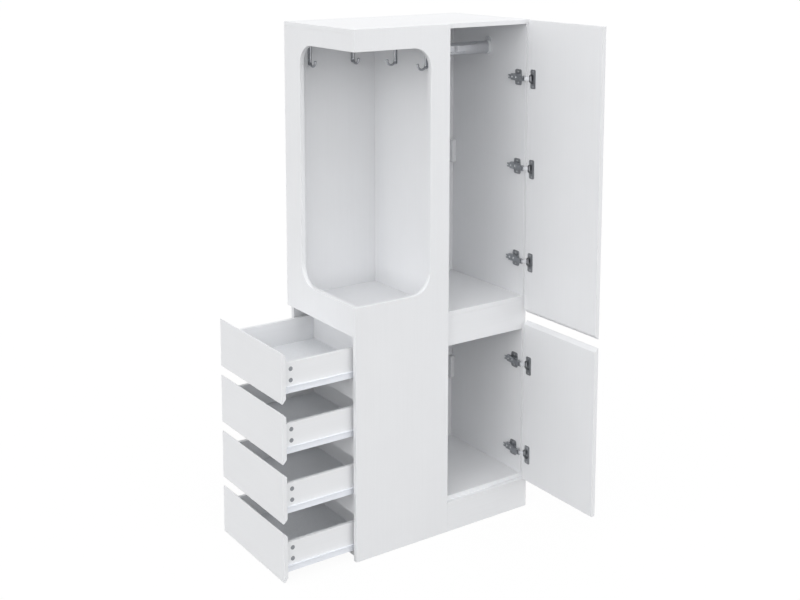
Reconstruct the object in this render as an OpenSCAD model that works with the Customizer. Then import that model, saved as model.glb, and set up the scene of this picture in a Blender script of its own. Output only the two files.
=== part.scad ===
// Tall wardrobe with an open corner niche, four side drawers and a two door bay.
// Rest pose: drawers pulled right out and both doors open at a right angle.
// Millimetres, Z up. X runs along the front, Y runs to the back.
// Origin: on the floor, in the middle of the carcass footprint.

/* [Carcass] */
// Overall height
height = 1800; // [1700:10:1900]
// Width of the carcass along the front
width = 748; // [700:4:820]
// Depth of the carcass
depth = 446; // [420:2:520]
// Board thickness
board = 16; // [15:0.5:17]
// Width of the fixed front panel
front_w = 384; // [370:2:400]
// Height of the plinth under the door bay
plinth_h = 108; // [90:2:120]
// Underside of the middle shelf, level with the top of the drawer opening
mid_z = 784; // [776:2:800]
// Height of the cross rail under the middle shelf
rail_h = 107; // [90:1:115]
// Height of the side plinth behind the drawer fronts
side_plinth_h = 28; // [20:1:32]

/* [Niche] */
// Height of the niche sill above the floor
sill_z = 887; // [860:1:920]
// Height of the band above the niche opening
band_h = 73; // [60:1:90]
// Width of the opening in the front panel
niche_w = 304; // [280:2:310]
// How far back the opening reaches in the side panel
niche_d = 341; // [300:1:350]
// Radius of the rounded corners of the opening
niche_r = 70; // [40:2:90]

/* [Doors] */
// Door thickness
door_t = 16; // [15:0.5:17]
// Gap between a closed door and its neighbours
door_gap = 1.5; // [1:0.5:3]
// Gap between a closed door's back and the carcass edges
door_back = 2; // [1.5:0.5:2.5]
// Upper edge of the lower door
low_door_top = 711; // [700:1:720]
// Finger gap between the doors
finger_gap = 31; // [25:1:36]
// Leg of the bevels that form the finger grips
bevel = 13; // [10:1:14]
// Height of the upper door's lowest hinge above the door's lower edge
upper_hinge_low = 191; // [150:1:220]
// Height of the upper door's middle hinge above the door's lower edge
upper_hinge_mid = 530; // [480:1:580]
// Distance of the upper door's top hinge below the door's top edge
upper_hinge_top = 206; // [160:1:240]
// Height of the lower door's lower hinge above the door's lower edge
lower_hinge_low = 101; // [80:1:140]
// Distance of the lower door's upper hinge below the door's top edge
lower_hinge_top = 162; // [130:1:200]

/* [Drawers] */
// Height of a drawer front
drawer_h = 170; // [160:1:175]
// Clearance over the top drawer front and beside the fronts
drawer_gap = 2; // [1.5:0.5:3]
// How far the drawers are pulled out
travel = 270; // [200:5:280]
// Thickness of the drawer box boards
box_t = 12; // [10:1:14]
// Height of the drawer box sides
box_h = 101; // [90:1:105]
// Room between a closed drawer box and the partition
box_room = 2; // [2:1:30]
// Drop from the top of a front to the top of its box
box_drop = 40; // [36:1:44]
// Thickness of the drawer bottom
bottom_t = 4; // [3:0.5:6]
// Diameter of the cam locks in the box sides
cam_d = 15; // [10:1:16]
// How far the rails between the drawers reach below the top of the lower front
drawer_rail_drop = 22; // [15:1:32]

/* [Fittings] */
// Height of the oval hanging tube's section
tube_h = 46; // [36:1:50]
// Thickness of the oval hanging tube's section
tube_w = 30; // [16:1:34]
// Distance of the hanging tube's middle below the overall height
tube_drop = 112; // [90:1:140]
// Distance of the hanging tube behind the front face
tube_y = 225; // [180:5:260]
// Distance of the coat hooks' lowest point below the overall height
hook_drop = 165; // [150:1:200]
// Diameter of the coat hook rod
hook_d = 8; // [5:0.5:9]
// Radius of the coat hook bend
hook_r = 17; // [14:1:20]

/* [Hidden] */
$fn = 48;

WHITE = "whitesmoke";
STEEL = "silver";
DARK = "dimgray";
eps = 0.5;

// Planes of the carcass, measured from its front left corner
top_z = height - board;
inner_l = front_w - board;
inner_r = width - board;
inner_b = depth - board;
niche_z = mid_z + board;
comp_z = plinth_h + board;
tube_z = height - tube_drop;
hook_z = height - hook_drop;

// Rear corner blocks
block_w = 18;
block_h = 86;
block_zs = [369, 1231];

// Doors. The open door stands door_in inside the face of the right side panel.
door_w = width - front_w - 2 * door_gap;
door_z0 = plinth_h + door_gap + 0.5;
up_door_z0 = low_door_top + finger_gap;
up_door_z1 = height - 1;
upper_hinges = [up_door_z0 + upper_hinge_low, up_door_z0 + upper_hinge_mid,
  up_door_z1 - upper_hinge_top];
lower_hinges = [door_z0 + lower_hinge_low, low_door_top - lower_hinge_top];
door_in = 4;
open_x = inner_r - door_in;
open_y = 0;
closed_edge = width - door_gap;
closed_back = board - door_back;

// Cup hinges. Distances from a door's hinge edge and down from its inner face.
cup_d = 35;
cup_wall = 1;
cup_tab = 3;
cup_depth = 13;
cup_floor = 0.8;
cup_q = cup_tab + cup_d / 2;
pin_d = 3;
pin_p = 6;
pin_q = 8;
pin_half = 10.2;
link_half = 6.5;
link_t = 2.2;
barrel_r = 2.4;
run_gap = 0.05;
link_gap = 0.3;
ear_t = 2;
plate_t = 1.2;
plate_w = 26;
plate_h = 68;
plate_q = 27;
plate_screw = 27;
screw_d = 7;
// Pin positions with the door open and closed
p_open = [open_x + pin_p, open_y - pin_q];
p_shut = [closed_edge - pin_q, closed_back - pin_p];
// The arm pin lies on the line of points equally far from both positions
arm_x = inner_r - 15;
p_mid = (p_open + p_shut) / 2;
p_go = p_shut - p_open;
arm_pin = [arm_x, p_mid[1] + (p_mid[0] - arm_x) * p_go[0] / p_go[1]];
link_bend = p_open + [-pin_p - 1.5, 0.8];

// Mounting plates and arms on the right side panel
mount_y = board + 38;
mount_h = 56;
mount_w = 34;
mount_t = 2.5;
ridge_t = 10;
ridge_h = 18;
arm_wall = 2.5;
arm_h = ridge_h + 2 * arm_wall;
arm_y0 = mount_y - 17;
arm_y1 = mount_y + 43;
arm_step = mount_y + 29;
tail_h = 15;
ridge_y1 = mount_y + 36;
arm_skin = 2.5;
nose_x0 = arm_x - 3;
nose_x1 = arm_x + 5;
nose_half = link_half + link_gap + ear_t;

// Drawers. Drawer n counts down from the top.
low_gap = 2;
pitch = (mid_z - drawer_gap - drawer_h - low_gap) / 3;
front_top = mid_z - drawer_gap;
front_y0 = board + drawer_gap;
front_y1 = depth - drawer_gap;
run_room = 14;
box_y0 = board + run_room;
box_y1 = inner_b - run_room;
box_len = inner_l - board - box_room;
box_gap = 5;
groove = 5;
bottom_up = 10;
cam_in = 24.5;
cam_zs = [62, 100];

// Slides. The drawer part hangs on the box side, the cabinet part on the wall.
sheet = 1.2;
leg_h = 22;
lip_y = 7;
foot_w = 11;
chan_len = box_len - 6;
chan_x = board + 4;
chan_h = 20;
chan_drop = 2;
chan_reach = 10.5;
pad_len = 14;
glide_len = 20;
glide_y = 3.2;
slip = 0.2;

// Hanging rail
flange_t = 3;
collar_len = 12;
collar_t = 3;
tube_wall = 1.5;
tube_fit = 0.1;
flange_screw = tube_h / 2 + 10.5;
flange_up = tube_h / 2 + 18;

// Coat hooks. Each entry is a position along its wall.
back_hooks = [92, 272];
side_hooks = [109, 292];
hook_plate_w = 14;
hook_plate_h = 92;
hook_plate_t = 3;
hook_plate_up = 6;
hook_screw_in = 9;

// Moves a shape drawn from the front left corner to the common origin
module place() {
  translate([-width / 2, -depth / 2, 0]) children();
}

// A box from one corner to the opposite corner
module span(a, b) {
  translate(a) cube([b[0] - a[0], b[1] - a[1], b[2] - a[2]]);
}

// A flat outline with rounded corners, centred
module rounded(w, h, r) {
  union() {
    square([w - 2 * r, h], center = true);
    square([w, h - 2 * r], center = true);
    for (x = [-1, 1], y = [-1, 1]) {
      translate([x * (w / 2 - r), y * (h / 2 - r)]) circle(r);
    }
  }
}

// An upright oval outline, centred
module oval(w, h) {
  square([w, h - w], center = true);
  for (y = [-1, 1]) {
    translate([0, y * (h - w) / 2]) circle(w / 2);
  }
}

// The niche opening drawn flat, open past its left edge
module niche_outline(reach) {
  h = height - band_h - sill_z;
  difference() {
    translate([-eps, sill_z]) square([reach + eps, h]);
    for (z = [0, 1]) {
      translate([reach - niche_r, sill_z + z * (h - niche_r)]) {
        difference() {
          translate([0, z * eps - (1 - z) * eps]) square([niche_r + eps, niche_r]);
          translate([0, (1 - z) * niche_r]) circle(niche_r, $fn = 96);
        }
      }
    }
  }
}

// Carcass panels

module top_panel() {
  color(WHITE) place() span([0, board, top_z], [width, depth, height]);
}

module right_side_panel() {
  color(WHITE) place() span([inner_r, board, 0], [width, depth, top_z]);
}

module partition_panel() {
  color(WHITE) place() span([inner_l, board, 0], [front_w, inner_b, top_z]);
}

module back_panel() {
  color(WHITE) place() span([board, inner_b, 0], [inner_r, depth, top_z]);
}

module front_panel() {
  color(WHITE) place() {
    translate([0, board, 0]) rotate([90, 0, 0]) linear_extrude(board) difference() {
      square([front_w, height]);
      niche_outline(niche_w);
    }
  }
}

module left_side_panel() {
  color(WHITE) place() {
    rotate([90, 0, 90]) linear_extrude(board) difference() {
      translate([board, mid_z]) square([depth - board, top_z - mid_z]);
      niche_outline(niche_d);
    }
  }
}

module niche_floor() {
  color(WHITE) place() span([board, board, niche_z], [inner_l, inner_b, niche_z + board]);
}

module compartment_floor() {
  color(WHITE) place() span([front_w, board, plinth_h], [inner_r, inner_b, comp_z]);
}

module middle_shelf() {
  color(WHITE) place() span([front_w, board, mid_z], [inner_r, inner_b, mid_z + board]);
}

module middle_rail() {
  color(WHITE) place() span([front_w, board, mid_z - rail_h], [inner_r, 2 * board, mid_z]);
}

module front_plinth() {
  color(WHITE) place() span([front_w, 0, 0], [width, board, plinth_h]);
}

module side_plinth() {
  color(WHITE) place() {
    span([board + drawer_gap, board, 0], [2 * board + drawer_gap, inner_b, side_plinth_h]);
  }
}

// Upright rails between the drawers, in the plane of the side plinth
module drawer_rails() {
  color(WHITE) place() for (n = [1:3]) {
    translate([0, 0, front_top - n * pitch]) span([board + drawer_gap, board, -drawer_rail_drop],
      [2 * board + drawer_gap, inner_b, pitch - box_drop - box_h - sheet - box_gap]);
  }
}

module corner_blocks() {
  color(WHITE) place() for (z = block_zs) {
    span([inner_r - block_w, inner_b - block_w, z], [inner_r, inner_b, z + block_h]);
  }
}

// Hanging rail

module hanging_rail() {
  color(STEEL) place() translate([front_w + flange_t, tube_y, tube_z]) {
    rotate([90, 0, 90]) linear_extrude(inner_r - front_w - 2 * flange_t) difference() {
      oval(tube_w, tube_h);
      oval(tube_w - 2 * tube_wall, tube_h - 2 * tube_wall);
    }
  }
}

// One rail holder, drawn with its back at the origin and facing along X.
// Its plate reaches up past the collar to take a screw.
module rail_flange() {
  r = tube_w / 2 + collar_t;
  difference() {
    union() {
      rotate([90, 0, 90]) linear_extrude(flange_t) {
        translate([-r, 0]) square([2 * r, flange_up - r]);
        translate([0, flange_up - r]) circle(r);
      }
      rotate([90, 0, 90]) linear_extrude(collar_len) oval(2 * r, tube_h + 2 * collar_t);
    }
    translate([flange_t, 0, 0]) rotate([90, 0, 90]) linear_extrude(collar_len) {
      oval(tube_w + 2 * tube_fit, tube_h + 2 * tube_fit);
    }
  }
}

module rail_flanges() {
  color(STEEL) place() {
    translate([front_w, tube_y, tube_z]) rail_flange();
    translate([inner_r, tube_y, tube_z]) mirror([1, 0, 0]) rail_flange();
  }
}

// A raised screw head with a cross recess, standing along Z
module screw_head(d, h) {
  difference() {
    cylinder(d = d, h = h);
    for (a = [0, 90]) {
      rotate(a) translate([-d * 0.3, -d * 0.08, h * 0.4]) cube([d * 0.6, d * 0.16, h]);
    }
  }
}

module rail_flange_screws() {
  color(DARK) place() {
    translate([front_w + flange_t, tube_y, tube_z + flange_screw]) {
      rotate([0, 90, 0]) screw_head(6, 1.6);
    }
    translate([inner_r - flange_t, tube_y, tube_z + flange_screw]) {
      rotate([0, -90, 0]) screw_head(6, 1.6);
    }
  }
}

// Coat hooks

// One hook on a wall at Y = 0, reaching along -Y. Its bend touches height 0.
module coat_hook() {
  rise = 48;
  stem_y = hook_d / 2 + 1.5;
  bend_z = hook_r + hook_d / 2;
  prong_r = 24;
  translate([0, 0, hook_plate_up + hook_plate_h / 2]) {
    rotate([90, 0, 0]) linear_extrude(hook_plate_t) rounded(hook_plate_w, hook_plate_h, 6.9);
  }
  translate([0, -stem_y, bend_z]) cylinder(d = hook_d, h = rise);
  translate([0, -stem_y - hook_r, bend_z]) rotate([90, 0, 90]) rotate(180) {
    rotate_extrude(angle = 180) translate([hook_r, 0]) circle(d = hook_d);
  }
  translate([0, -stem_y - 2 * hook_r, bend_z]) sphere(d = hook_d + 2);
  translate([0, -stem_y - prong_r, bend_z + rise]) rotate([90, 0, 90]) {
    rotate_extrude(angle = 60) translate([prong_r, 0]) circle(d = hook_d);
    rotate(60) translate([prong_r, 0]) sphere(d = hook_d + 2.5);
  }
}

// Puts a shape made for one wall hook at every hook position
module at_hooks() {
  for (x = back_hooks) {
    translate([x, inner_b, hook_z]) children();
  }
  for (y = side_hooks) {
    translate([inner_l, y, hook_z]) rotate(-90) children();
  }
}

module coat_hooks() {
  color(STEEL) place() at_hooks() coat_hook();
}

module coat_hook_screws() {
  up = hook_plate_up + hook_plate_h - hook_screw_in;
  color(DARK) place() at_hooks() translate([0, -hook_plate_t, up]) {
    rotate([90, 0, 0]) screw_head(5, 1);
  }
}

// Hinge parts fixed to the right side panel

// Puts a shape at every hinge height in the list
module at_heights(list) {
  for (z = list) {
    translate([0, 0, z]) children();
  }
}

all_hinges = concat(upper_hinges, lower_hinges);

module hinge_mounting_plates() {
  color(STEEL) place() at_heights(all_hinges) {
    translate([inner_r, mount_y, 0]) rotate([90, 0, -90]) {
      linear_extrude(mount_t) rounded(mount_w, mount_h, 7);
    }
    span([inner_r - ridge_t, arm_y0, -ridge_h / 2], [inner_r, arm_step, ridge_h / 2]);
    span([inner_r - ridge_t, arm_step, 1 - tail_h / 2], [inner_r, ridge_y1, tail_h / 2 - 1]);
  }
}

module hinge_arms() {
  web_x = inner_r - ridge_t - arm_skin;
  color(STEEL) place() at_heights(all_hinges) difference() {
    union() {
      span([web_x, arm_y0, -arm_h / 2], [inner_r - ridge_t, arm_step, arm_h / 2]);
      span([web_x, arm_step, -tail_h / 2], [inner_r - ridge_t, arm_y1, tail_h / 2]);
      for (s = [0, 1]) mirror([0, 0, s]) {
        span([web_x, arm_y0, ridge_h / 2], [inner_r - mount_t, arm_step, arm_h / 2]);
        span([nose_x0, arm_pin[1], nose_half - ear_t], [nose_x1 - 2, board, nose_half]);
        translate([arm_pin[0], arm_pin[1], nose_half - ear_t]) cylinder(r = 3, h = ear_t);
      }
      span([nose_x0, arm_pin[1] + 5.6, -nose_half], [nose_x1, arm_y0 + 6, nose_half]);
    }
    translate([arm_pin[0], arm_pin[1], -nose_half - 1]) cylinder(d = pin_d, h = 2 * nose_half + 2);
    span([web_x - 1, arm_y1 - 7, -2], [inner_r - ridge_t, arm_y1 + 1, 2]);
  }
}

module hinge_arm_pins() {
  color(DARK) place() at_heights(all_hinges) {
    translate([arm_pin[0], arm_pin[1], -nose_half]) cylinder(d = pin_d, h = 2 * nose_half);
  }
}

module hinge_plate_screws() {
  color(DARK) place() at_heights(all_hinges) for (s = [-1, 1]) {
    translate([inner_r - mount_t, mount_y, s * 19.5]) rotate([0, -90, 0]) screw_head(screw_d, 2);
  }
}

module hinge_adjusting_screws() {
  color(DARK) place() at_heights(all_hinges) for (y = [mount_y + 2, mount_y + 23]) {
    translate([inner_r - ridge_t - arm_skin, y, 0]) rotate([0, -90, 0]) screw_head(screw_d, 1.5);
  }
}

// Doors in the open position

// One door with its inner face towards -X and a bevel on one end of that face
module door(z0, z1, bevel_low, hinges) {
  edge = bevel_low ? z0 : z1;
  difference() {
    span([open_x, open_y - door_w, z0], [open_x + door_t, open_y, z1]);
    translate([open_x, open_y + eps, edge]) rotate([90, 0, 0]) {
      linear_extrude(door_w + 2 * eps) {
        polygon([[-1, 0], [-1, bevel_low ? bevel + 1 : -bevel - 1],
          [bevel + 1, bevel_low ? -1 : 1], [0, bevel_low ? -1 : 1]]);
      }
    }
    at_heights(hinges) translate([open_x - eps, open_y - cup_q, 0]) rotate([0, 90, 0]) {
      cylinder(d = cup_d, h = cup_depth + eps);
    }
  }
}

module upper_door() {
  color(WHITE) place() door(up_door_z0, up_door_z1, true, upper_hinges);
}

module lower_door() {
  color(WHITE) place() door(door_z0, low_door_top, false, lower_hinges);
}

// One hinge cup with its wing plate on the door's inner face
module hinge_cup() {
  difference() {
    union() {
      translate([open_x, open_y - cup_q, 0]) rotate([0, 90, 0]) cylinder(d = cup_d, h = cup_depth);
      translate([open_x, open_y - plate_q, 0]) rotate([90, 0, -90]) {
        linear_extrude(plate_t) rounded(plate_w, plate_h, 6);
      }
      translate([open_x, open_y - cup_q, 0]) rotate([0, -90, 0]) cylinder(d = cup_d - 1, h = plate_t);
    }
    translate([open_x - plate_t - 1, open_y - cup_q, 0]) rotate([0, 90, 0]) {
      cylinder(d = cup_d - 2 * cup_wall, h = cup_depth + plate_t + 1 - cup_floor);
    }
    translate([p_open[0], p_open[1], -pin_half]) cylinder(d = pin_d, h = 2 * pin_half);
    // The rim is cut away where the link passes when the door is wide open
    span([open_x - plate_t - 1, open_y - cup_tab - 4, -link_half - 1],
      [open_x + 3, open_y, link_half + 1]);
  }
}

// Screws in a wing plate
module cup_screws() {
  for (s = [-1, 1]) {
    translate([open_x - plate_t, open_y - plate_q, s * plate_screw]) {
      rotate([0, -90, 0]) screw_head(screw_d, 0.6);
    }
  }
}

// Pin across a cup
module cup_pin() {
  translate([p_open[0], p_open[1], -pin_half]) cylinder(d = pin_d, h = 2 * pin_half);
}

// Flat strip of the link from one point to the next
module link_leg(a, b) {
  d = b - a;
  translate([a[0], a[1], -link_half]) rotate(atan2(d[1], d[0])) {
    translate([0, -link_t / 2, 0]) cube([norm(d), link_t, 2 * link_half]);
  }
}

// Bent link between the arm pin and the cup pin
module hinge_link() {
  difference() {
    union() {
      link_leg(arm_pin, link_bend);
      link_leg(link_bend, p_open);
      translate([link_bend[0], link_bend[1], -link_half]) cylinder(d = link_t, h = 2 * link_half);
      for (p = [arm_pin, p_open]) {
        translate([p[0], p[1], -link_half]) cylinder(r = barrel_r, h = 2 * link_half);
      }
    }
    for (p = [arm_pin, p_open]) {
      translate([p[0], p[1], -link_half - 1]) {
        cylinder(d = pin_d + 2 * run_gap, h = 2 * link_half + 2);
      }
    }
  }
}

module upper_hinge_cups() {
  color(STEEL) place() at_heights(upper_hinges) hinge_cup();
}

module upper_cup_screws() {
  color(DARK) place() at_heights(upper_hinges) cup_screws();
}

module upper_cup_pins() {
  color(DARK) place() at_heights(upper_hinges) cup_pin();
}

module upper_hinge_links() {
  color(STEEL) place() at_heights(upper_hinges) hinge_link();
}

module lower_hinge_cups() {
  color(STEEL) place() at_heights(lower_hinges) hinge_cup();
}

module lower_cup_screws() {
  color(DARK) place() at_heights(lower_hinges) cup_screws();
}

module lower_cup_pins() {
  color(DARK) place() at_heights(lower_hinges) cup_pin();
}

module lower_hinge_links() {
  color(STEEL) place() at_heights(lower_hinges) hinge_link();
}

// Drawers in the pulled out position

// Moves a drawer part from its closed place, with Z measured from the front's top
module drawer(n) {
  place() translate([-travel, 0, front_top - (n - 1) * pitch]) children();
}

// Copies a shape made for the near side of the drawer bay to the far side
module both_sides() {
  children();
  translate([0, board + inner_b, 0]) mirror([0, 1, 0]) children();
}

// A front whose upper and lower edges are bevelled on the inside as finger grips
module drawer_front(n) {
  color(WHITE) drawer(n) difference() {
    span([0, front_y0, -drawer_h], [board, front_y1, 0]);
    translate([board, front_y1 + eps, 0]) rotate([90, 0, 0]) {
      linear_extrude(front_y1 - front_y0 + 2 * eps) {
        polygon([[-bevel - 1, 1], [1, -bevel - 1], [1, 1]]);
        translate([0, -drawer_h]) polygon([[-bevel - 1, -1], [1, bevel + 1], [1, -1]]);
      }
    }
  }
}

module drawer_sides(n) {
  z0 = -box_drop - box_h;
  color(WHITE) drawer(n) both_sides() difference() {
    span([board, box_y0, z0], [board + box_len, box_y0 + box_t, -box_drop]);
    span([board - eps, box_y0 + box_t - groove, z0 + bottom_up],
      [board + box_len - box_t, box_y0 + box_t + eps, z0 + bottom_up + bottom_t]);
    for (d = cam_zs) {
      translate([board + cam_in, box_y0 - eps, -d]) rotate([-90, 0, 0]) cylinder(d = cam_d, h = box_t - 2 + eps);
    }
  }
}

module drawer_back(n) {
  x1 = board + box_len;
  color(WHITE) drawer(n) {
    span([x1 - box_t, box_y0 + box_t, -box_drop - box_h], [x1, box_y1 - box_t, -box_drop]);
  }
}

module drawer_bottom(n) {
  z0 = -box_drop - box_h + bottom_up;
  color(WHITE) drawer(n) {
    span([board, box_y0 + box_t - groove, z0],
      [board + box_len - box_t, box_y1 - box_t + groove, z0 + bottom_t]);
  }
}

module drawer_runners(n) {
  z0 = -box_drop - box_h;
  x1 = board + box_len;
  color(WHITE) drawer(n) both_sides() {
    span([board, box_y0 - sheet, z0 - sheet], [x1, box_y0, z0 + leg_h]);
    span([board, box_y0 - sheet, z0 - sheet], [x1, box_y0 + foot_w, z0]);
    span([board, board + lip_y, z0 + leg_h - sheet], [x1, box_y0, z0 + leg_h]);
    span([x1 - glide_len, board + glide_y, z0 - chan_drop + sheet + slip],
      [x1, box_y0, z0 - chan_drop + chan_h - sheet - slip]);
  }
}

module drawer_cam_locks(n) {
  color(DARK) drawer(n) both_sides() for (d = cam_zs) {
    translate([board + cam_in, box_y0 + box_t - 2, -d]) rotate([90, 0, 0]) difference() {
      cylinder(d = cam_d, h = box_t - 2 + 0.4);
      translate([-cam_d * 0.35, -0.8, box_t - 2.6]) cube([cam_d * 0.7, 1.6, 2]);
      translate([-0.8, -cam_d * 0.35, box_t - 2.6]) cube([1.6, cam_d * 0.7, 2]);
    }
  }
}

// Channels on the walls of the drawer bay with their front glide pads
module cabinet_runners() {
  color(WHITE) place() for (n = [0:3]) {
    translate([0, 0, front_top - n * pitch - box_drop - box_h - chan_drop]) both_sides() {
      span([chan_x, board, 0], [chan_x + chan_len, board + sheet, chan_h]);
      for (z = [0, chan_h - sheet]) {
        span([chan_x, board, z], [chan_x + chan_len, board + chan_reach, z + sheet]);
      }
      span([chan_x, board, chan_h], [chan_x + pad_len, board + chan_reach,
        leg_h + chan_drop - sheet - slip]);
    }
  }
}

module runner_screws() {
  color(DARK) place() for (n = [0:3]) {
    translate([0, 0, front_top - n * pitch - box_drop - box_h - chan_drop + chan_h / 2]) {
      both_sides() for (x = [chan_x + 30, chan_x + chan_len - 50]) {
        translate([x, board + sheet, 0]) rotate([-90, 0, 0]) screw_head(screw_d, 1.6);
      }
    }
  }
}

module drawer_1_front() {
  drawer_front(1);
}
module drawer_1_sides() {
  drawer_sides(1);
}
module drawer_1_back() {
  drawer_back(1);
}
module drawer_1_bottom() {
  drawer_bottom(1);
}
module drawer_1_runners() {
  drawer_runners(1);
}
module drawer_1_cam_locks() {
  drawer_cam_locks(1);
}
module drawer_2_front() {
  drawer_front(2);
}
module drawer_2_sides() {
  drawer_sides(2);
}
module drawer_2_back() {
  drawer_back(2);
}
module drawer_2_bottom() {
  drawer_bottom(2);
}
module drawer_2_runners() {
  drawer_runners(2);
}
module drawer_2_cam_locks() {
  drawer_cam_locks(2);
}
module drawer_3_front() {
  drawer_front(3);
}
module drawer_3_sides() {
  drawer_sides(3);
}
module drawer_3_back() {
  drawer_back(3);
}
module drawer_3_bottom() {
  drawer_bottom(3);
}
module drawer_3_runners() {
  drawer_runners(3);
}
module drawer_3_cam_locks() {
  drawer_cam_locks(3);
}
module drawer_4_front() {
  drawer_front(4);
}
module drawer_4_sides() {
  drawer_sides(4);
}
module drawer_4_back() {
  drawer_back(4);
}
module drawer_4_bottom() {
  drawer_bottom(4);
}
module drawer_4_runners() {
  drawer_runners(4);
}
module drawer_4_cam_locks() {
  drawer_cam_locks(4);
}

top_panel();
right_side_panel();
partition_panel();
back_panel();
front_panel();
left_side_panel();
niche_floor();
compartment_floor();
middle_shelf();
middle_rail();
front_plinth();
side_plinth();
drawer_rails();
corner_blocks();
hanging_rail();
rail_flanges();
rail_flange_screws();
coat_hooks();
coat_hook_screws();
hinge_mounting_plates();
hinge_arms();
hinge_arm_pins();
hinge_plate_screws();
hinge_adjusting_screws();
cabinet_runners();
runner_screws();
upper_door();
upper_hinge_cups();
upper_cup_screws();
upper_cup_pins();
upper_hinge_links();
lower_door();
lower_hinge_cups();
lower_cup_screws();
lower_cup_pins();
lower_hinge_links();
drawer_1_front();
drawer_1_sides();
drawer_1_back();
drawer_1_bottom();
drawer_1_runners();
drawer_1_cam_locks();
drawer_2_front();
drawer_2_sides();
drawer_2_back();
drawer_2_bottom();
drawer_2_runners();
drawer_2_cam_locks();
drawer_3_front();
drawer_3_sides();
drawer_3_back();
drawer_3_bottom();
drawer_3_runners();
drawer_3_cam_locks();
drawer_4_front();
drawer_4_sides();
drawer_4_back();
drawer_4_bottom();
drawer_4_runners();
drawer_4_cam_locks();
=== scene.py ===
# %% [markdown]
# # A white wardrobe with a coat niche, side drawers and two doors
#
# The wardrobe is flat-pack furniture: chipboard faced with white melamine, pressed steel cup
# hinges, coated steel drawer slides and a plated hanging tube. All of its main shapes already
# exist as exact solids, so this lesson is about finishing: easing the board edges, making the
# small repeated fittings, and giving each material the look of the real one.
#
# First the imported model is loaded. It comes in as one object for each node, in metres, already in
# place. The finished object has to fit the same box.

import math

import bmesh
import bpy
from mathutils import Matrix, Vector


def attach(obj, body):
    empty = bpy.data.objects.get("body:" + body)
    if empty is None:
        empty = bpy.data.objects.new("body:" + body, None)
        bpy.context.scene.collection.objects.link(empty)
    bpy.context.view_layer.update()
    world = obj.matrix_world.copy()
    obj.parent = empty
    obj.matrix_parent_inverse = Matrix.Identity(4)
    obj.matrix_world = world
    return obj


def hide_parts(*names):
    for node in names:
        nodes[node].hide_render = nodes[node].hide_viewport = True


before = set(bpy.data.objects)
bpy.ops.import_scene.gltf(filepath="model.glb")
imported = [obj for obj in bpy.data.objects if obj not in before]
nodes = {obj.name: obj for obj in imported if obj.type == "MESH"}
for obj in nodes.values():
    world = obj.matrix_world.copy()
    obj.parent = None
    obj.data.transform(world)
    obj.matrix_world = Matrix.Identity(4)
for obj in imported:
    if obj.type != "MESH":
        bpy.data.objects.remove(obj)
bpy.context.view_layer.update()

# %% [markdown]
# ## Colours and nodes
#
# A colour is easiest to pick as a hex value, as paint charts give it, but Blender's shaders work
# in linear light, so one function converts it, and can make it a little lighter or darker.
# Materials and Geometry Nodes are both node trees, so one function adds a node to either: it sets
# the node's settings, then links or fills its inputs. A noise pattern's values run from 0 to 1, but
# nearly all of them lie between 0.3 and 0.7, so these two are the ends of most ramps here.

# %% Helpers for colours and nodes
MM = 0.001
NOISE_LOW, NOISE_HIGH = 0.3, 0.7


def colour(code, factor=1.0):
    """Linear RGBA for a hex colour, times a factor."""
    parts = [int(code[i:i + 2], 16) / 255 for i in (1, 3, 5)]
    linear = [p / 12.92 if p <= 0.04045 else ((p + 0.055) / 1.055) ** 2.4 for p in parts]
    return [min(1.0, p * factor) for p in linear] + [1.0]


def add(tree, kind, inputs=None, **settings):
    """Adds one node with its settings, and links or fills its inputs."""
    node = tree.nodes.new(kind)
    for name, value in settings.items():
        setattr(node, name, value)
    for key, value in (inputs or {}).items():
        if isinstance(value, bpy.types.NodeSocket):
            tree.links.new(value, node.inputs[key])
        else:
            node.inputs[key].default_value = value
    return node


print("a hex white in linear light:", colour("#E5E6E8"))

# %% [markdown]
# ## White melamine board
#
# The panels are chipboard with a white melamine paper pressed on. The paper is a matt cool white.
# The steel press plate leaves a fine pearl texture, and the sheet keeps very faint streaks along
# the length it was pressed in. A single flat colour would look like plastic, and a strong texture
# would look like plaster, so three weak layers are stacked: streaks, a cloudy change of tone, and
# the pearl as a bump. The real pearl is about 1 mm across, too fine to show at this distance, so
# it is drawn at 3 mm. The streaks run along a board's length, which differs from board to board,
# so the function takes the direction. All patterns read Object coordinates, which are metres here.

# %% Board material
MELAMINE_WHITE = "#E5E6E8"
STREAK_WIDTH = 6 * MM
STREAK_LENGTH = 350 * MM
CLOUD_SIZE = 180 * MM
PEARL_SIZE = 3 * MM
PEARL_DEPTH = 0.1 * MM


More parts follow.
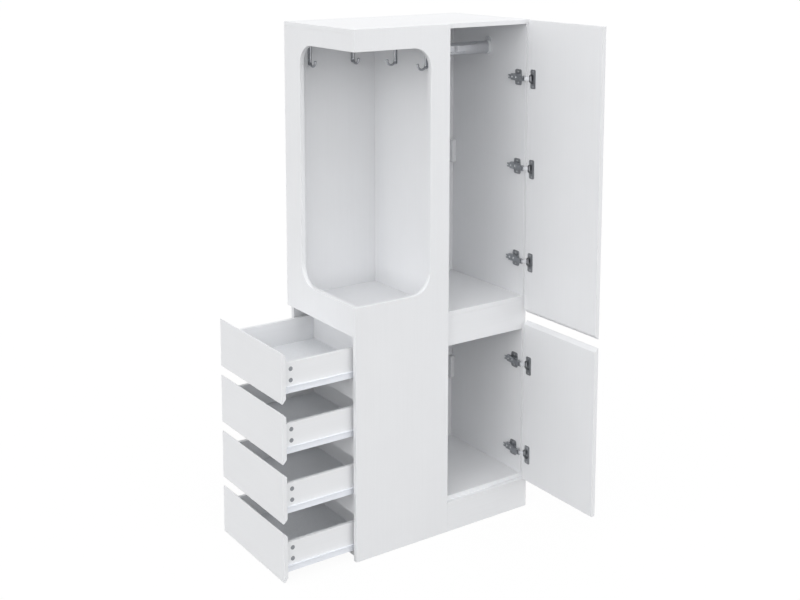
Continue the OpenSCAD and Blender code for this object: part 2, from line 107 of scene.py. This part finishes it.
def melamine(name, along):
    """Matt white melamine facing with its streaks along axis 0, 1 or 2."""
    material = bpy.data.materials.new(name)
    material.use_nodes = True
    tree = material.node_tree
    shader = tree.nodes["Principled BSDF"]
    place = add(tree, "ShaderNodeTexCoord")
    streak_scale = [1 / STREAK_WIDTH] * 3
    streak_scale[along] = 1 / STREAK_LENGTH
    stretched = add(tree, "ShaderNodeMapping", {"Vector": place.outputs["Object"], "Scale": streak_scale})
    streaks = add(tree, "ShaderNodeTexNoise",
                  {"Vector": stretched.outputs["Vector"], "Scale": 1.0, "Detail": 3.0, "Roughness": 0.6})
    clouds = add(tree, "ShaderNodeTexNoise",
                 {"Vector": place.outputs["Object"], "Scale": 1 / CLOUD_SIZE, "Detail": 2.0})
    both = add(tree, "ShaderNodeMix", {0: 0.45, 2: streaks.outputs["Fac"], 3: clouds.outputs["Fac"]})
    tone = add(tree, "ShaderNodeValToRGB", {"Fac": both.outputs[0]})
    darker, lighter = tone.color_ramp.elements
    darker.position = NOISE_LOW
    darker.color = colour(MELAMINE_WHITE, 0.98)
    lighter.position = NOISE_HIGH
    lighter.color = colour(MELAMINE_WHITE, 1.012)
    rough = add(tree, "ShaderNodeMapRange",
                {"Value": streaks.outputs["Fac"], "From Min": NOISE_LOW, "From Max": NOISE_HIGH,
                 "To Min": 0.44, "To Max": 0.54})
    pearl = add(tree, "ShaderNodeTexNoise",
                {"Vector": place.outputs["Object"], "Scale": 1 / PEARL_SIZE, "Detail": 2.0, "Roughness": 0.5})
    grit = add(tree, "ShaderNodeMix", {0: 0.3, 2: pearl.outputs["Fac"], 3: streaks.outputs["Fac"]})
    bump = add(tree, "ShaderNodeBump", {"Height": grit.outputs[0], "Strength": 0.2, "Distance": PEARL_DEPTH})
    tree.links.new(tone.outputs["Color"], shader.inputs["Base Color"])
    tree.links.new(rough.outputs["Result"], shader.inputs["Roughness"])
    tree.links.new(bump.outputs["Normal"], shader.inputs["Normal"])
    shader.inputs["IOR"].default_value = 1.5
    return material


board_upright = melamine("white melamine board, grain upright", 2)
board_across = melamine("white melamine board, grain across", 0)
board_deep = melamine("white melamine board, grain front to back", 1)
print("board materials:", board_upright.name, "|", board_across.name, "|", board_deep.name)

# %% [markdown]
# ## Painted hardboard
#
# The drawer bottoms are thin hardboard with a sprayed coat of white paint. Hardboard is felted
# from wood fibre, so the paint shows a fine fleck without a direction, and it is a little duller
# than melamine. The fibre fleck is about 2 mm on the real sheet and is drawn at 4 mm.

# %% Hardboard material
FLECK_SIZE = 4 * MM
FLECK_DEPTH = 0.2 * MM

hardboard = bpy.data.materials.new("sprayed white hardboard")
hardboard.use_nodes = True
tree = hardboard.node_tree
shader = tree.nodes["Principled BSDF"]
place = add(tree, "ShaderNodeTexCoord")
fleck = add(tree, "ShaderNodeTexNoise",
            {"Vector": place.outputs["Object"], "Scale": 1 / FLECK_SIZE, "Detail": 4.0, "Roughness": 0.7})
tone = add(tree, "ShaderNodeValToRGB", {"Fac": fleck.outputs["Fac"]})
darker, lighter = tone.color_ramp.elements
darker.position = 0.35
darker.color = colour("#E1E3E6")
lighter.position = 0.6
lighter.color = colour("#EAECEF")
bump = add(tree, "ShaderNodeBump", {"Height": fleck.outputs["Fac"], "Strength": 0.3, "Distance": FLECK_DEPTH})
tree.links.new(tone.outputs["Color"], shader.inputs["Base Color"])
tree.links.new(bump.outputs["Normal"], shader.inputs["Normal"])
shader.inputs["Roughness"].default_value = 0.62
shader.inputs["IOR"].default_value = 1.48
print("drawer bottoms:", hardboard.name)

# %% [markdown]
# ## Plated metal
#
# The metal parts differ in their plating. The hanging tube and the coat hooks are bright chrome
# over polished steel: nearly a mirror, with faint drawing lines along the tube; the hooks' rod is
# given a darker colour than the tube as painted shade. The hinge parts are pressed from strip and
# nickel plated in a barrel, which leaves them softer and a little blotchy, with fine rolling lines;
# their plates and cups are given a darker colour than their arms as painted shade, and the links a
# paler one as painted light. The screws are zinc plated and greyer, the adjusting screws are given
# a near white as a painted highlight, and the cam locks are cast zinc, the dullest of all.
#
# One function makes them all, because the surfaces differ only in a few things: the colour, the
# roughness, the size of the lines along X, Y and Z, how deep the lines are, and how much darker
# the blotches get. A metal keeps the default IOR, because its colour sets its reflection. The real
# lines are finer than a tenth of a millimetre and wouldn't show, so they are drawn at 1 to 4 mm.

# %% Metal material
BLOTCH_SIZE = 12 * MM


def plated(name, code, rough, line_size, depth, blotch=0.86):
    """Plated metal: the lines' sizes along X, Y and Z and their depth are in millimetres."""
    material = bpy.data.materials.new(name)
    material.use_nodes = True
    tree = material.node_tree
    shader = tree.nodes["Principled BSDF"]
    place = add(tree, "ShaderNodeTexCoord")
    stretched = add(tree, "ShaderNodeMapping",
                    {"Vector": place.outputs["Object"], "Scale": [1 / (s * MM) for s in line_size]})
    lines = add(tree, "ShaderNodeTexNoise",
                {"Vector": stretched.outputs["Vector"], "Scale": 1.0, "Detail": 3.0, "Roughness": 0.55})
    blotches = add(tree, "ShaderNodeTexNoise",
                   {"Vector": place.outputs["Object"], "Scale": 1 / BLOTCH_SIZE, "Detail": 2.0})
    tone = add(tree, "ShaderNodeValToRGB", {"Fac": blotches.outputs["Fac"]})
    darker, lighter = tone.color_ramp.elements
    darker.position = NOISE_LOW
    darker.color = colour(code, blotch)
    lighter.position = NOISE_HIGH
    lighter.color = colour(code)
    gloss = add(tree, "ShaderNodeMapRange",
                {"Value": lines.outputs["Fac"], "From Min": NOISE_LOW, "From Max": NOISE_HIGH,
                 "To Min": rough * 0.8, "To Max": rough * 1.25})
    bump = add(tree, "ShaderNodeBump",
               {"Height": lines.outputs["Fac"], "Strength": 0.3, "Distance": depth * MM})
    tree.links.new(tone.outputs["Color"], shader.inputs["Base Color"])
    tree.links.new(gloss.outputs["Result"], shader.inputs["Roughness"])
    tree.links.new(bump.outputs["Normal"], shader.inputs["Normal"])
    shader.inputs["Metallic"].default_value = 1.0
    return material


# %% [markdown]
# The lines follow how each part was made. The tube is drawn, so its lines run along its length,
# which is X. The hook's rod stands mostly upright, with lines a little longer than they are wide.
# The strip of the hinge arms and links was rolled along Y, that of the plates and cups along Z.
# Screws and castings show no direction.

# %% Make the metals
chrome_tube = plated("chrome plated drawn tube", "#D6D7DA", 0.07, (200, 1.5, 1.5), 0.03, blotch=0.95)
# The rod's chrome is given a darker colour than the tube's as painted shade.
shaded_chrome_rod = plated("chrome plated bent rod, darker for painted shade", "#B6B8BC", 0.14, (4, 4, 20), 0.03)
nickel = plated("nickel plated hinge arm", "#B4B7BB", 0.32, (3, 30, 1), 0.05)
# The links are the arms' nickel, given a paler colour as painted light.
lit_hinge_link_nickel = plated("nickel plated hinge link, paler for painted light", "#C0C2C6", 0.40, (3, 30, 1), 0.05)
# The plates and cups are the arms' nickel, given a darker colour as painted shade.
shaded_hinge_nickel = plated("nickel plated hinge plate, darker for painted shade", "#A9ABAE", 0.36, (1, 3, 30), 0.05)
zinc = plated("zinc plated screw steel", "#C4C5C8", 0.38, (2, 2, 2), 0.05)
# The adjusting screws' near white stands for a painted highlight.
highlight_zinc = plated("zinc plated adjusting screw, pale for painted highlight", "#F0F1F2", 0.25, (2, 2, 2), 0.05)
cam_metal = plated("zinc die cast cam lock", "#999CA0", 0.50, (2, 2, 2), 0.08)
for metal in (chrome_tube, shaded_chrome_rod, nickel, lit_hinge_link_nickel, shaded_hinge_nickel, zinc, highlight_zinc, cam_metal):
    print("metal:", metal.name)

# %% [markdown]
# ## Smooth coats
#
# The drawer slides are rolled from thin sheet and coated with baked white powder. The coat melts
# to a smooth skin with a slight orange peel, a little glossier and bluer than the board beside it,
# which is what makes the slides stand out on the drawer sides. The peel is 2 mm across. The
# holders of the hanging tube are moulded plastic of a pale grey, whose skin has the same kind of
# fine unevenness, so the same function makes both.

# %% Coat material
PEEL_SIZE = 2 * MM
PEEL_DEPTH = 0.1 * MM
RUBBED_SIZE = 60 * MM


def coating(name, low, high, rough):
    """Smooth coat with a slight peel, in two close tones."""
    material = bpy.data.materials.new(name)
    material.use_nodes = True
    tree = material.node_tree
    shader = tree.nodes["Principled BSDF"]
    place = add(tree, "ShaderNodeTexCoord")
    peel = add(tree, "ShaderNodeTexNoise",
               {"Vector": place.outputs["Object"], "Scale": 1 / PEEL_SIZE, "Detail": 1.0, "Roughness": 0.4})
    rubbed = add(tree, "ShaderNodeTexNoise",
                 {"Vector": place.outputs["Object"], "Scale": 1 / RUBBED_SIZE, "Detail": 3.0})
    tone = add(tree, "ShaderNodeValToRGB", {"Fac": rubbed.outputs["Fac"]})
    darker, lighter = tone.color_ramp.elements
    darker.position = 0.35
    darker.color = colour(low)
    lighter.position = 0.65
    lighter.color = colour(high)
    bump = add(tree, "ShaderNodeBump",
               {"Height": peel.outputs["Fac"], "Strength": 0.35, "Distance": PEEL_DEPTH})
    tree.links.new(tone.outputs["Color"], shader.inputs["Base Color"])
    tree.links.new(bump.outputs["Normal"], shader.inputs["Normal"])
    shader.inputs["Roughness"].default_value = rough
    shader.inputs["IOR"].default_value = 1.52
    return material


coated = coating("white powder coated sheet steel", "#E8EBF1", "#EDF0F6", 0.42)
holder = coating("pale grey moulded rail holder", "#D4D6D9", "#DADCDE", 0.40)
print("coats:", coated.name, "|", holder.name)

# %% [markdown]
# ## Which node has which finish
#
# Each CAD node keeps its shape and gets its material here. The streaks follow the length of the
# board: upright for the tall panels and doors, across for shelves and rails, and front to back for
# the drawer fronts, which face sideways.

# %% Choose the finishes
DOORS = ("upper", "lower")
DRAWERS = (1, 2, 3, 4)

finish = {
    "top_panel": board_across, "right_side_panel": board_upright,
    "partition_panel": board_upright, "back_panel": board_upright,
    "front_panel": board_upright, "left_side_panel": board_upright,
    "niche_floor": board_across, "compartment_floor": board_across,
    "middle_shelf": board_across, "middle_rail": board_across,
    "front_plinth": board_across, "side_plinth": board_deep,
    "drawer_rails": board_deep, "corner_blocks": board_upright,
    "upper_door": board_upright, "lower_door": board_upright,
    "hanging_rail": chrome_tube, "rail_flanges": holder, "rail_flange_screws": zinc,
    "coat_hooks": shaded_chrome_rod, "coat_hook_screws": zinc,
    "hinge_mounting_plates": shaded_hinge_nickel, "hinge_arms": nickel, "hinge_arm_pins": zinc,
    "hinge_plate_screws": zinc, "hinge_adjusting_screws": highlight_zinc,
    "cabinet_runners": coated, "runner_screws": zinc,
}
for door in DOORS:
    finish[door + "_hinge_cups"] = shaded_hinge_nickel
    finish[door + "_hinge_links"] = lit_hinge_link_nickel
    finish[door + "_cup_screws"] = zinc
    finish[door + "_cup_pins"] = zinc
for n in DRAWERS:
    finish[f"drawer_{n}_front"] = board_deep
    finish[f"drawer_{n}_sides"] = board_across
    finish[f"drawer_{n}_back"] = board_deep
    finish[f"drawer_{n}_bottom"] = hardboard
    finish[f"drawer_{n}_runners"] = coated
    finish[f"drawer_{n}_cam_locks"] = cam_metal
print("nodes without a finish:", sorted(set(nodes) - set(finish)))

# %% [markdown]
# A material can sit on the mesh or on the object. Here it goes on the object, so that the CAD mesh
# stays exactly as it was imported.

# %% Assign the materials
for name, material in finish.items():
    for slot in nodes[name].material_slots:
        slot.link = "OBJECT"
        slot.material = material
print("finishes assigned:", len(finish))

# %% [markdown]
# ## Eased edges
#
# A sawn board gets an edge band, and the band's corners are eased by about a millimetre so that
# they don't chip. That small round catches a line of light along every edge, and it is what tells
# the eye that the panels are real boards. It could be faked in the shader, but then the meshes
# themselves would lack it, so a Bevel modifier makes it. The loose triangles of a CAD mesh are first
# welded, and flat areas are merged to single faces, so that only true edges are bevelled. The
# pressed hinge parts get the same treatment with a smaller radius.

# %% Ease the edges
BOARD_ROUND = 0.8 * MM
PRESSED_ROUND = 0.4 * MM
PRESSED_PARTS = ("hinge_mounting_plates", "hinge_arms", "upper_hinge_cups", "lower_hinge_cups")
SAME_POINT = 1e-6                  # metres
STILL_FLAT = math.radians(0.5)
TRUE_EDGE = math.radians(35)


def ease(name, radius):
    """Rounds the sharp edges of a node by modifiers."""
    piece = nodes[name]
    weld = piece.modifiers.new("weld corners", "WELD")
    weld.merge_threshold = SAME_POINT
    flat = piece.modifiers.new("merge flat faces", "DECIMATE")
    flat.decimate_type = "DISSOLVE"
    flat.angle_limit = STILL_FLAT
    bevel = piece.modifiers.new("ease edges", "BEVEL")
    bevel.width = radius
    bevel.segments = 2
    bevel.limit_method = "ANGLE"
    bevel.angle_limit = TRUE_EDGE
    bevel.use_clamp_overlap = True
    bevel.harden_normals = True


boards = [name for name, material in finish.items() if material in (board_upright, board_across, board_deep)]
for name in boards:
    ease(name, BOARD_ROUND)
for name in PRESSED_PARTS:
    ease(name, PRESSED_ROUND)
print("boards with eased edges:", len(boards), "pressed parts:", len(PRESSED_PARTS))

# %% [markdown]
# ## Screws
#
# Small domed screws with a cross recess hold the fittings. They are all the same shape in a few
# sizes, so Geometry Nodes make one head and put it on every screw's point. The tree's inputs are
# the points, the sizes of the head and of its recess, and the metal. The recess is given as shares
# of the head: its length and width of the diameter, its depth of the height.

# %% The screw head tree and its inputs
head_tree = bpy.data.node_groups.new("cross recess heads", "GeometryNodeTree")
head_tree.is_modifier = True
sockets = {}
sockets["Points"] = head_tree.interface.new_socket("Points", in_out="INPUT", socket_type="NodeSocketGeometry")
for title, value in (("Head diameter", 7 * MM), ("Head height", 2 * MM), ("Recess length", 0.62),
                     ("Recess width", 0.15), ("Recess depth", 0.6)):
    sockets[title] = head_tree.interface.new_socket(title, in_out="INPUT", socket_type="NodeSocketFloat")
    sockets[title].default_value = value
sockets["Finish"] = head_tree.interface.new_socket("Finish", in_out="INPUT", socket_type="NodeSocketMaterial")
head_tree.interface.new_socket("Heads", in_out="OUTPUT", socket_type="NodeSocketGeometry")
start = add(head_tree, "NodeGroupInput")
print("inputs of the screw head tree:", ", ".join(sockets))

# %% [markdown]
# The head could be turned from a profile, but a sphere of radius 1 that is reshaped by a formula
# stays one closed skin. Its lower half is pressed flat. Its upper half becomes a low dome: at a
# distance r from the axis the height is the root of 1 - r to the fourth, which is flat in the
# middle and steep at the rim, as on a pan head. Corners that lie within a hair of the sphere's
# middle plane count as lower ones.

# %% The domed head
HAIR = 1e-4

ball = add(head_tree, "GeometryNodeMeshUVSphere", {"Segments": 24, "Rings": 12, "Radius": 1.0})
where = add(head_tree, "GeometryNodeInputPosition")
xyz = add(head_tree, "ShaderNodeSeparateXYZ", {0: where.outputs[0]})
x_square = add(head_tree, "ShaderNodeMath", {0: xyz.outputs[0], 1: xyz.outputs[0]}, operation="MULTIPLY")
y_square = add(head_tree, "ShaderNodeMath", {0: xyz.outputs[1], 1: xyz.outputs[1]}, operation="MULTIPLY")
square = add(head_tree, "ShaderNodeMath", {0: x_square.outputs[0], 1: y_square.outputs[0]}, operation="ADD")
fourth = add(head_tree, "ShaderNodeMath", {0: square.outputs[0], 1: square.outputs[0]}, operation="MULTIPLY")
rest = add(head_tree, "ShaderNodeMath", {0: 1.0, 1: fourth.outputs[0]}, operation="SUBTRACT")
rest_up = add(head_tree, "ShaderNodeMath", {0: rest.outputs[0], 1: 0.0}, operation="MAXIMUM")
dome = add(head_tree, "ShaderNodeMath", {0: rest_up.outputs[0], 1: 0.5}, operation="POWER")
upper = add(head_tree, "ShaderNodeMath", {0: xyz.outputs[2], 1: HAIR}, operation="GREATER_THAN")
height = add(head_tree, "ShaderNodeMath", {0: dome.outputs[0], 1: upper.outputs[0]}, operation="MULTIPLY")
high = add(head_tree, "ShaderNodeMath",
           {0: height.outputs[0], 1: start.outputs["Head height"]}, operation="MULTIPLY")
radius = add(head_tree, "ShaderNodeMath", {0: start.outputs["Head diameter"], 1: 0.5}, operation="MULTIPLY")
wide_x = add(head_tree, "ShaderNodeMath", {0: xyz.outputs[0], 1: radius.outputs[0]}, operation="MULTIPLY")
wide_y = add(head_tree, "ShaderNodeMath", {0: xyz.outputs[1], 1: radius.outputs[0]}, operation="MULTIPLY")
new_place = add(head_tree, "ShaderNodeCombineXYZ",
                {0: wide_x.outputs[0], 1: wide_y.outputs[0], 2: high.outputs[0]})
shaped = add(head_tree, "GeometryNodeSetPosition",
             {"Geometry": ball.outputs["Mesh"], "Position": new_place.outputs[0]})
print("nodes so far:", len(head_tree.nodes))

# %% [markdown]
# Two bars at a right angle cut the cross out of the dome. Each bar is twice as high as the head and
# is lifted until it reaches down into the dome by the recess depth.

# %% The cross recess
long = add(head_tree, "ShaderNodeMath",
           {0: start.outputs["Head diameter"], 1: start.outputs["Recess length"]}, operation="MULTIPLY")
thin = add(head_tree, "ShaderNodeMath",
           {0: start.outputs["Head diameter"], 1: start.outputs["Recess width"]}, operation="MULTIPLY")
tall = add(head_tree, "ShaderNodeMath", {0: start.outputs["Head height"], 1: 2.0}, operation="MULTIPLY")
above = add(head_tree, "ShaderNodeMath", {0: 2.0, 1: start.outputs["Recess depth"]}, operation="SUBTRACT")
lift = add(head_tree, "ShaderNodeMath",
           {0: start.outputs["Head height"], 1: above.outputs[0]}, operation="MULTIPLY")
lift_by = add(head_tree, "ShaderNodeCombineXYZ", {2: lift.outputs[0]})
cut = shaped
for size_x, size_y in ((long, thin), (thin, long)):
    size = add(head_tree, "ShaderNodeCombineXYZ",
               {0: size_x.outputs[0], 1: size_y.outputs[0], 2: tall.outputs[0]})
    bar = add(head_tree, "GeometryNodeMeshCube", {"Size": size.outputs[0]})
    raised = add(head_tree, "GeometryNodeTransform",
                 {"Geometry": bar.outputs["Mesh"], "Translation": lift_by.outputs[0]})
    cut = add(head_tree, "GeometryNodeMeshBoolean",
              {"Mesh 1": cut.outputs[0], "Mesh 2": raised.outputs[0]}, operation="DIFFERENCE")
print("nodes so far:", len(head_tree.nodes))

# %% [markdown]
# Each head stands on its point and faces the way that the point's attribute says. It is also turned
# by a random angle with a fixed seed, as screws never stop at the same angle. A quarter turn is
# enough, because the cross then looks the same again.

# %% Place the heads
QUARTER_TURN = 1.57                # radians
SEED = 7

facing = add(head_tree, "GeometryNodeInputNamedAttribute", {"Name": "facing"}, data_type="FLOAT_VECTOR")
upright = add(head_tree, "FunctionNodeAlignRotationToVector", {"Vector": facing.outputs[0]}, axis="Z")
spin = add(head_tree, "FunctionNodeRandomValue", {2: 0.0, 3: QUARTER_TURN, "Seed": SEED}, data_type="FLOAT")
spin_by = add(head_tree, "FunctionNodeAxisAngleToRotation", {"Axis": (0, 0, 1), "Angle": spin.outputs[1]})
turned = add(head_tree, "FunctionNodeRotateRotation",
             {"Rotation": upright.outputs[0], "Rotate By": spin_by.outputs[0]}, rotation_space="LOCAL")
placed = add(head_tree, "GeometryNodeInstanceOnPoints",
             {"Points": start.outputs["Points"], "Instance": cut.outputs[0], "Rotation": turned.outputs[0]})
real = add(head_tree, "GeometryNodeRealizeInstances", {"Geometry": placed.outputs[0]})
plated_heads = add(head_tree, "GeometryNodeSetMaterial",
                   {"Geometry": real.outputs[0], "Material": start.outputs["Finish"]})
add(head_tree, "NodeGroupOutput", {0: plated_heads.outputs[0]})
print("screw head tree:", len(head_tree.nodes), "nodes")

# %% [markdown]
# ## Where the screws are
#
# The screws of a node are one mesh in the CAD, so they are first told apart: a search walks along
# the edges from corner to corner, and what it reaches is one screw.

# %% Split a node into its solids


def solids(name):
    """Lists of vertex positions, one for each separate solid of a node."""
    copy = bmesh.new()
    copy.from_mesh(nodes[name].data)
    bmesh.ops.remove_doubles(copy, verts=copy.verts, dist=SAME_POINT)
    found, seen = [], set()
    for first in copy.verts:
        if first in seen:
            continue
        group, waiting = [], [first]
        seen.add(first)
        while waiting:
            vert = waiting.pop()
            group.append(vert.co.copy())
            for edge in vert.link_edges:
                other = edge.other_vert(vert)
                if other not in seen:
                    seen.add(other)
                    waiting.append(other)
        found.append(group)
    copy.free()
    return found


print("screws of the slide channels:", len(solids("runner_screws")))

# %% [markdown]
# Each screw is then measured. Its thin direction is its axis. Its recess adds corners in the upper
# part, so the mean of all its corners lies above the middle of its box, and that gives the way the
# head faces. The screw stands on the middle of its foot.

# %% Measure a screw


def foot_and_way(group):
    """Middle of a screw's foot, and the direction that its head faces."""
    low = Vector([min(p[i] for p in group) for i in range(3)])
    high = Vector([max(p[i] for p in group) for i in range(3)])
    size = high - low
    axis = min(range(3), key=lambda i: size[i])
    mean = sum(p[axis] for p in group) / len(group)
    middle = (low + high) / 2
    up = 1.0 if mean > middle[axis] else -1.0
    foot = middle.copy()
    foot[axis] = low[axis] if up > 0 else high[axis]
    way = Vector((0, 0, 0))
    way[axis] = up
    return foot, way


foot, way = foot_and_way(solids("runner_screws")[0])
print("the first slide screw stands at", foot[:], "and faces", way[:])

# %% [markdown]
# A mesh without faces carries the points to the tree, and an attribute on it carries the way that
# each screw faces.

# %% Points for the screws


def head_points(name):
    """A mesh object with one point at the foot of each screw, which carries the way it faces."""
    measured = [foot_and_way(group) for group in solids(name)]
    mesh = bpy.data.meshes.new(name + "_heads")
    mesh.from_pydata([foot[:] for foot, way in measured], [], [])
    field = mesh.attributes.new("facing", "FLOAT_VECTOR", "POINT")
    for i, (foot, way) in enumerate(measured):
        field.data[i].vector = way
    piece = bpy.data.objects.new(name + "_heads", mesh)
    bpy.context.scene.collection.objects.link(piece)
    return piece


print("screws in all:", sum(len(solids(name)) for name in nodes if name.endswith("_screws")))

# %% [markdown]
# ## The screw heads
#
# The modifier runs the tree on the points, and its result is then kept as a plain mesh, because
# the export knows no instances. The heads ride on the body that the screws are in and stand for
# the plain CAD screws.

# %% Put the heads on


def heads(name, body, diameter, high, material=zinc):
    """Makes the domed heads for one node and lets them stand for it."""
    piece = head_points(name)
    count = len(piece.data.vertices)
    maker = piece.modifiers.new("cross recess heads", "NODES")
    maker.node_group = head_tree
    maker[sockets["Head diameter"].identifier] = diameter
    maker[sockets["Head height"].identifier] = high
    maker[sockets["Finish"].identifier] = material
    graph = bpy.context.evaluated_depsgraph_get()
    mesh = bpy.data.meshes.new_from_object(piece.evaluated_get(graph))
    piece.modifiers.clear()
    piece.data = mesh
    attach(piece, body)
    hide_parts(name)
    print(name, "heads:", count, "triangles:", sum(len(p.vertices) - 2 for p in mesh.polygons))


heads("rail_flange_screws", "carcass", 6 * MM, 1.6 * MM)
heads("coat_hook_screws", "carcass", 5 * MM, 1.0 * MM)
heads("hinge_plate_screws", "carcass", 7 * MM, 2.0 * MM)
heads("hinge_adjusting_screws", "carcass", 7 * MM, 1.5 * MM, material=highlight_zinc)
heads("runner_screws", "carcass", 7 * MM, 1.6 * MM)
heads("upper_cup_screws", "upper_door_leaf", 7 * MM, 0.6 * MM)
heads("lower_cup_screws", "lower_door_leaf", 7 * MM, 0.6 * MM)

# %% [markdown]
# ## Floor
#
# The floor is one very large pale disc. In a product picture it is pure white, so the camera,
# mirrors and glass see it as an even glow of strength 1. A twentieth of plain diffuse white stays
# in the mix, so the wardrobe's soft shadow stays on the floor. All other light meets a mid grey
# there, because a white floor would throw so much light up that the undersides and the insides of
# the open drawers went flat. The floor lies half a millimetre under the wardrobe, so that the two
# never share a plane.

# %% Floor
FLOOR_RADIUS = 80
FLOOR_CORNERS = 64
FLOOR_GAP = 0.5 * MM
GLOW_SHARE = 0.95


def direct_rays(tree):
    """1 for rays from the camera, mirrors and glass, and 0 for all others."""
    ray = add(tree, "ShaderNodeLightPath")
    plain = add(tree, "ShaderNodeMath",
                {0: ray.outputs["Is Camera Ray"], 1: ray.outputs["Is Glossy Ray"]}, operation="ADD")
    direct = add(tree, "ShaderNodeMath",
                 {0: plain.outputs[0], 1: ray.outputs["Is Transmission Ray"]},
                 operation="ADD", use_clamp=True)
    return direct.outputs[0]


floor_mesh = bpy.data.meshes.new("studio_floor")
angles = [math.tau * i / FLOOR_CORNERS for i in range(FLOOR_CORNERS)]
rim = [(FLOOR_RADIUS * math.cos(a), FLOOR_RADIUS * math.sin(a), 0) for a in angles]
floor_mesh.from_pydata(rim, [], [list(range(FLOOR_CORNERS))])
floor = bpy.data.objects.new("studio_floor", floor_mesh)
bpy.context.scene.collection.objects.link(floor)
floor.location.z = -FLOOR_GAP
floor_paint = bpy.data.materials.new("pale studio floor")
floor_paint.use_nodes = True
tree = floor_paint.node_tree
tree.nodes.remove(tree.nodes["Principled BSDF"])
seen = direct_rays(tree)
share = add(tree, "ShaderNodeMath", {0: seen, 1: GLOW_SHARE}, operation="MULTIPLY")
paint = add(tree, "ShaderNodeMix", {"Factor": seen, "A": colour("#959595"), "B": colour("#F8F8F8")},
            data_type="RGBA")
matt = add(tree, "ShaderNodeBsdfDiffuse", {"Color": paint.outputs["Result"]})
glow = add(tree, "ShaderNodeEmission", {"Color": (1, 1, 1, 1), "Strength": 1.0})
mixed = add(tree, "ShaderNodeMixShader", {0: share.outputs[0], 1: matt.outputs[0], 2: glow.outputs[0]})
tree.links.new(mixed.outputs[0], tree.nodes["Material Output"].inputs["Surface"])
floor_mesh.materials.append(floor_paint)
print("floor radius in metres:", FLOOR_RADIUS)

# %% [markdown]
# ## Light
#
# White furniture is photographed in even light, so that its faces differ only by a few shades. The
# world is an even white that reaches every side. Its light is a little under 1, and only the
# camera, mirrors and glass see it at 1, as pure white.

# %% World
EVEN_STRENGTH = 0.93

world = bpy.data.worlds.new("even studio light")
bpy.context.scene.world = world
world.use_nodes = True
tree = world.node_tree
seen = direct_rays(tree)
even = add(tree, "ShaderNodeBackground", {"Color": (1, 1, 1, 1), "Strength": EVEN_STRENGTH})
backdrop = add(tree, "ShaderNodeBackground", {"Color": (1, 1, 1, 1), "Strength": 1.0})
mixed = add(tree, "ShaderNodeMixShader", {0: seen, 1: even.outputs[0], 2: backdrop.outputs[0]})
tree.nodes.remove(tree.nodes["Background"])
tree.links.new(mixed.outputs[0], tree.nodes["World Output"].inputs["Surface"])
print("world:", world.name, "at strength", EVEN_STRENGTH)

# %% [markdown]
# The world alone would leave the insides flat, so five broad lamps add direction, most of it from
# the left. They are suns, whose light is the same everywhere, and an angle of 50 degrees makes
# their shadows as soft as those of a large softbox nearby. Each is given by the direction it shines
# from and its strength in watts per square metre. How far away a sun stands makes no difference.

# %% Lamps
LAMP_ANGLE = math.radians(50)
LAMP_DISTANCE = 5

for title, toward, energy in (("broad left lamp", (-0.88, -0.40, 0.17), 0.82),
                              ("broad side lamp", (-1.00, 0.00, 0.15), 0.42),
                              ("broad front lamp", (0.00, -1.00, 0.12), 0.60),
                              ("broad right lamp", (0.50, -0.85, 0.15), 0.27),
                              ("broad high lamp", (-0.25, -0.40, 0.90), 0.44)):
    lamp_data = bpy.data.lights.new(title, "SUN")
    lamp_data.angle = LAMP_ANGLE
    lamp_data.energy = energy
    lamp = bpy.data.objects.new(title, lamp_data)
    bpy.context.scene.collection.objects.link(lamp)
    lamp.location = Vector(toward) * LAMP_DISTANCE
    lamp.rotation_euler = Vector(toward).to_track_quat("Z", "Y").to_euler()
    print(title, energy, "W/m2")

# %% [markdown]
# ## Camera
#
# The picture is taken from the front left, a little above the top, with a slightly long lens that
# is shifted down, so that upright edges stay nearly parallel. The camera's place and direction
# follow from the straight edges of the boards. Its matrix has its axes as columns: right, up and
# back.

# %% Camera
TURN, TIP, ROLL = math.radians(33.251), math.radians(8.064), math.radians(0.231)
EYE = Vector((-2.4750, -3.4493, 2.1154))
LENS = 54.84                       # millimetres, on a sensor 36 mm wide
SENSOR = 36.0
SHIFT_X, SHIFT_Y = 0.0522, -0.2479
FAR_CLIP = 300.0

ahead = Vector((math.sin(TURN) * math.cos(TIP), math.cos(TURN) * math.cos(TIP), -math.sin(TIP)))
level = Vector((math.cos(TURN), -math.sin(TURN), 0))
below = ahead.cross(level)
right = math.cos(ROLL) * level + math.sin(ROLL) * below
down = math.cos(ROLL) * below - math.sin(ROLL) * level
camera_data = bpy.data.cameras.new("product camera")
camera_data.sensor_fit = "HORIZONTAL"
camera_data.sensor_width = SENSOR
camera_data.lens = LENS
camera_data.shift_x = SHIFT_X
camera_data.shift_y = SHIFT_Y
camera_data.clip_end = FAR_CLIP
camera = bpy.data.objects.new("product camera", camera_data)
bpy.context.scene.collection.objects.link(camera)
pose = Matrix((right, -down, -ahead)).transposed().to_4x4()
pose.translation = EYE
camera.matrix_world = pose
bpy.context.scene.camera = camera
bpy.context.scene.view_settings.view_transform = "Standard"
print("camera at:", [round(c, 3) for c in EYE])
